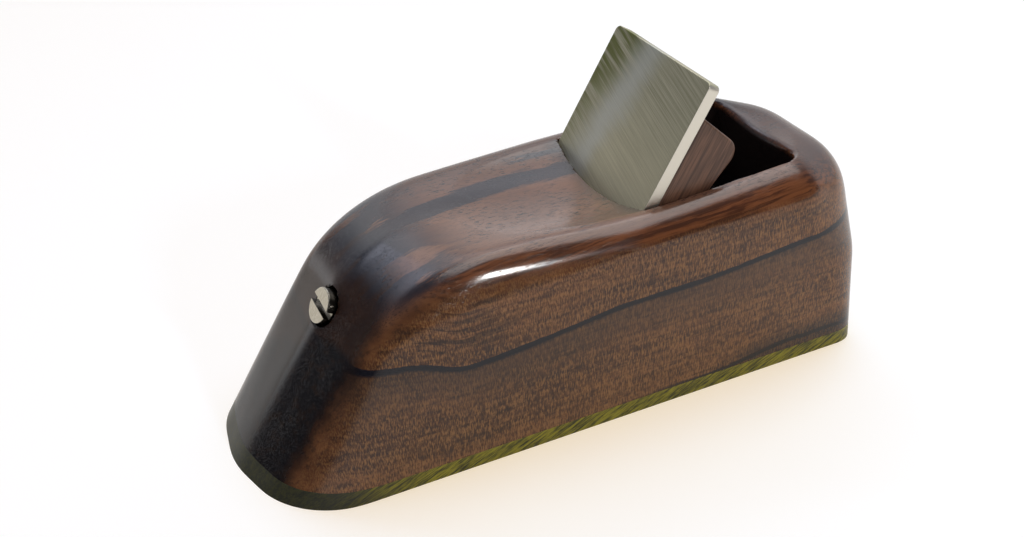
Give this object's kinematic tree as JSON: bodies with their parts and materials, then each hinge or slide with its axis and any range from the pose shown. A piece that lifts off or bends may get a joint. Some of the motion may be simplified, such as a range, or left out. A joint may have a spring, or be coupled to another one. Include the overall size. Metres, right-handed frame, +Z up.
{
  "type": "wooden block plane",
  "caption": "Small wooden hand plane with a rounded nose, a hardwood sole, an iron leaning over an open throat, a wedge and a slotted lock screw.",
  "frame": {"origin": "under the middle of the sole, on the sole face", "axes": "+X from the nose with the lock screw towards the open throat, +Y across the stock to the side away from the camera, +Z up"},
  "size_m": [0.156, 0.0536, 0.0761],
  "materials": {
    "stock_wood": "oiled and polished, dark reddish brown with darker streaks",
    "sole_wood": "polished, yellow-green to olive",
    "wedge_wood": "oiled, straight grain",
    "pin_wood": "turned, oiled",
    "iron_steel": "ground",
    "screw_steel": "polished",
    "brass": "turned"
  },
  "bodies": {
    "stock": {"sole": "sole_wood", "bed_block": "stock_wood", "throat_block": "stock_wood", "near_cheek": "stock_wood", "far_cheek": "stock_wood", "cross_pin": "pin_wood", "screw_bush": "brass"},
    "plane_iron": {"iron": "iron_steel"},
    "plane_wedge": {"wedge": "wedge_wood"},
    "pad": {"pressure_pad": "brass"},
    "screw": {"lock_screw": "screw_steel"}
  },
  "joints": [
    {"name": "iron_slide", "type": "slide", "parent": "stock", "child": "plane_iron", "axis": [0.5, 0, 0.866], "range_m": [-0.0006, 0.055]},
    {"name": "wedge_slide", "type": "slide", "parent": "stock", "child": "plane_wedge", "axis": [0.5, 0, 0.866], "range_m": [0, 0.045]},
    {"name": "pad_slide", "type": "slide", "parent": "stock", "child": "pad", "axis": [-0.866, 0, 0.5], "range_m": [0, 0.00239]},
    {"name": "screw_turn", "type": "hinge", "parent": "pad", "child": "screw", "pos_m": [-0.0554, 0, 0.0349], "axis": [-0.866, 0, 0.5], "range_deg": [0, 1080]}
  ],
  "couplings": [
    {"joint": "screw_turn", "follows": "pad_slide", "rad_per_m": 7854}
  ]
}
